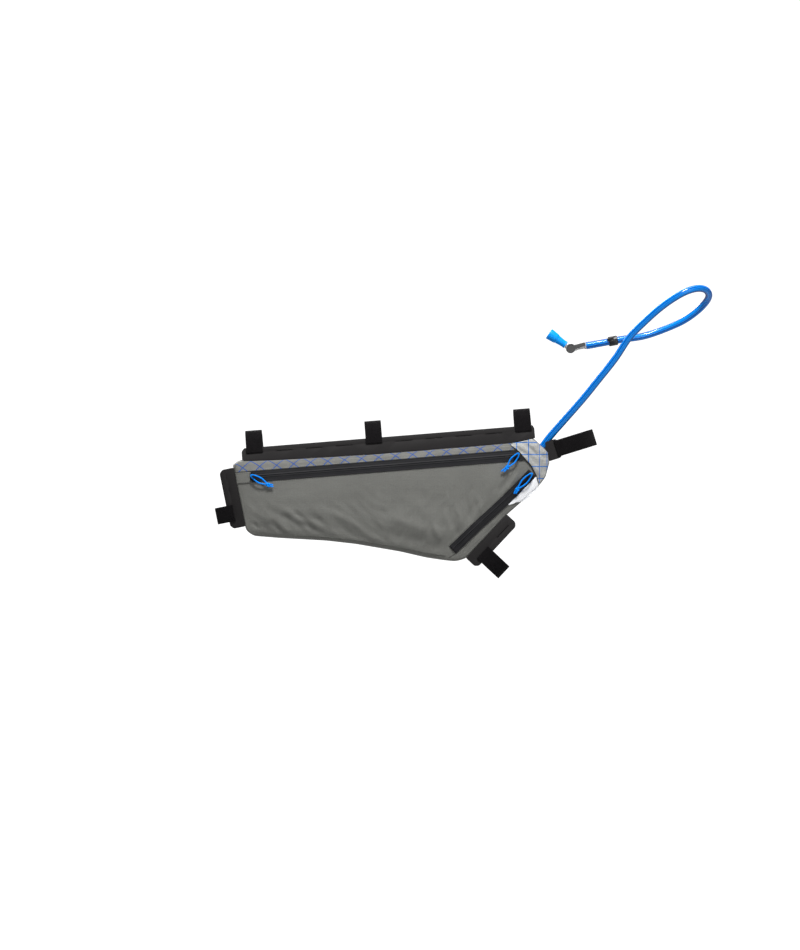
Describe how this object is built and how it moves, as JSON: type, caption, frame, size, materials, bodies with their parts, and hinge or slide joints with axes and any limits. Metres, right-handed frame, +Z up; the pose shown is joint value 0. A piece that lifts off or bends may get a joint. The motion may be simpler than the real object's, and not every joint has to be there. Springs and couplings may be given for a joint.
{
  "type": "bicycle frame bag",
  "caption": "Half-frame bicycle bag with slotted flanges, hook-and-loop straps, two zips and a drink hose that loops up to a bite valve.",
  "frame": {"origin": "the axis of the bicycle's top tube, at the bag's middle strap", "axes": "+X forward along the bicycle, +Y away from the side with the zips, +Z up"},
  "size_m": [0.7484, 0.1045, 0.4397],
  "materials": {
    "sage_fabric": "ripstop weave, satin",
    "lattice_fabric": "pale grey weave with a blue diamond grid",
    "pale_fabric": "pale grey weave with a blue square grid",
    "white_fabric": "white coated weave",
    "zip_tape": "coated zip tape, satin",
    "slider_metal": "black enamel",
    "blue_cord": "braided cord",
    "flange_rubber": "matt coated fabric",
    "strap_web": "hook and loop, fuzzy",
    "blue_tube": "glossy, slightly clear",
    "black_plastic": "moulded",
    "clear_plastic": "clear, moulded",
    "dark_plastic": "moulded",
    "blue_silicone": "soft, satin"
  },
  "bodies": {
    "bag": {"bag_shell": "sage_fabric", "zip_garage": "sage_fabric", "top_band": "lattice_fabric", "corner_panel": "pale_fabric", "white_panel": "white_fabric", "upper_zip": "zip_tape", "lower_zip": "zip_tape", "upper_rear_slider": "slider_metal", "upper_front_slider": "slider_metal", "lower_slider": "slider_metal", "upper_rear_pull": "blue_cord", "upper_front_pull": "blue_cord", "lower_pull": "blue_cord", "top_tube_flange_near": "flange_rubber", "top_tube_flange_far": "flange_rubber", "seat_tube_flange_near": "flange_rubber", "seat_tube_flange_far": "flange_rubber", "down_tube_flange_near": "flange_rubber", "down_tube_flange_far": "flange_rubber", "head_tube_flange_near": "flange_rubber", "head_tube_flange_far": "flange_rubber", "top_tube_strap_rear": "strap_web", "top_tube_strap_middle": "strap_web", "top_tube_strap_front": "strap_web", "seat_tube_strap": "strap_web", "down_tube_strap": "strap_web", "head_tube_strap": "strap_web", "hose": "blue_tube", "hose_clip": "black_plastic", "elbow_valve": "clear_plastic", "bite_valve": "blue_silicone"},
    "lever": {"valve_lever": "dark_plastic"}
  },
  "joints": [
    {"name": "valve_lever_turn", "type": "hinge", "parent": "bag", "child": "lever", "pos_m": [0.29704, 0, 0.13053], "axis": [0, 1, 0], "range_deg": [0, 90]}
  ]
}
